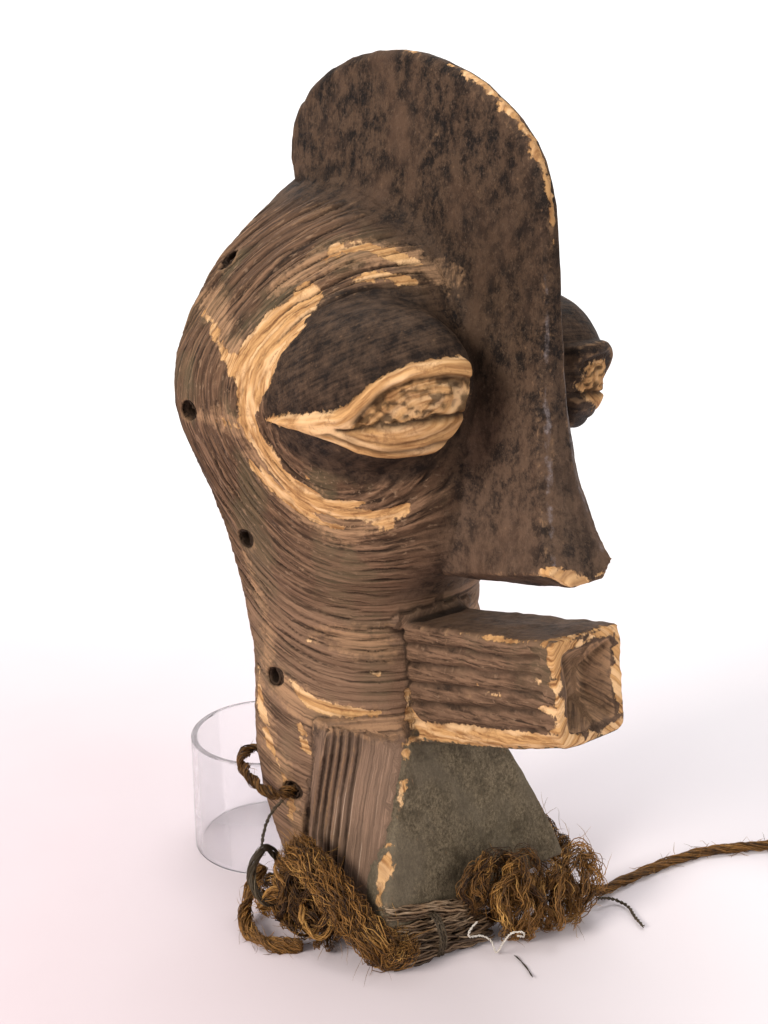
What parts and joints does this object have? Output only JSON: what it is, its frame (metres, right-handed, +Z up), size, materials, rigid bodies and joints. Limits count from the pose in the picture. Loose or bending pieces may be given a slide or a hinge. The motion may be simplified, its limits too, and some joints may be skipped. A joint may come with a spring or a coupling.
{
  "type": "face mask",
  "caption": "Carved wooden face mask with a tall fin crest, bulging eyes, box mouth and raffia at its foot, leaning on a clear ring.",
  "frame": {"origin": "on the floor, below the middle of the mask, its ring and its raffia, without the free cord", "axes": "+Z up, the mask looks along -Y, +X is to the right of someone who faces the mask"},
  "size_m": [0.2968, 0.2751, 0.3855],
  "materials": {
    "carved_wood": "dark brown stain, worn through to tan wood on the edges",
    "clear_plastic": "clear and polished",
    "raffia": "dry golden brown fibre",
    "bark_fibre": "dry grey brown strips",
    "dark_fibre": "dark stiff twine",
    "white_thread": "thin matte thread"
  },
  "bodies": {
    "root": {"mask": "carved_wood", "support_ring": "clear_plastic", "lacing_loop_left": "raffia", "lacing_loop_right": "raffia", "front_rope": "raffia", "front_hank": "bark_fibre", "floor_loop": "raffia", "ring_loop": "dark_fibre", "hanging_twine": "dark_fibre", "trailing_twine": "dark_fibre", "white_thread": "white_thread", "left_tuft": "raffia", "right_tuft": "raffia", "far_tuft": "raffia", "raffia_cord": "raffia", "raffia_coil": "raffia"}
  },
  "joints": []
}
